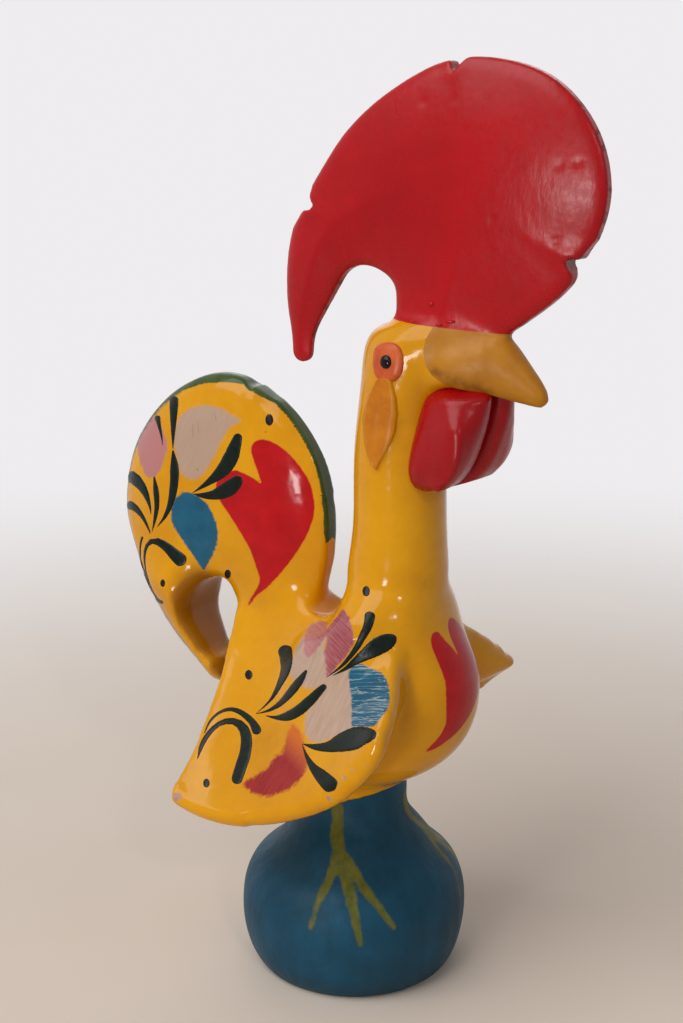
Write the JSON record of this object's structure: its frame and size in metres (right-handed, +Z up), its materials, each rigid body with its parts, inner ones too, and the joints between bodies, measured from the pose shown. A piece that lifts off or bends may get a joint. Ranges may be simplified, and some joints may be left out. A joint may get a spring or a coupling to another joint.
{
  "type": "rooster figurine",
  "caption": "Painted earthenware rooster ornament on a hollow bell-shaped base, with a tall hooked comb, a curled tail, flared wings and hanging wattles; stands on a shelf.",
  "frame": {"origin": "centre of the base's foot ring, on the surface that the figurine stands on", "axes": "+X forward towards the beak, +Y to the rooster's left, +Z up"},
  "size_m": [0.1752, 0.0994, 0.3033],
  "materials": {
    "base_blue": "satin brushed enamel paint on fired clay",
    "rooster_yellow": "gloss enamel paint on fired clay",
    "beak_ochre": "gloss enamel paint on fired clay",
    "comb_red": "semi-gloss enamel paint on fired clay",
    "eye_orange": "gloss enamel paint on fired clay",
    "lobe_amber": "gloss enamel paint on fired clay"
  },
  "bodies": {
    "root": {"base_bell": "base_blue", "body": "rooster_yellow", "neck": "rooster_yellow", "tail": "rooster_yellow", "left_wing": "rooster_yellow", "right_wing": "rooster_yellow", "beak": "beak_ochre", "comb": "comb_red", "left_wattle": "comb_red", "right_wattle": "comb_red", "left_eye": "eye_orange", "right_eye": "eye_orange", "left_ear_lobe": "lobe_amber", "right_ear_lobe": "lobe_amber"}
  },
  "joints": []
}
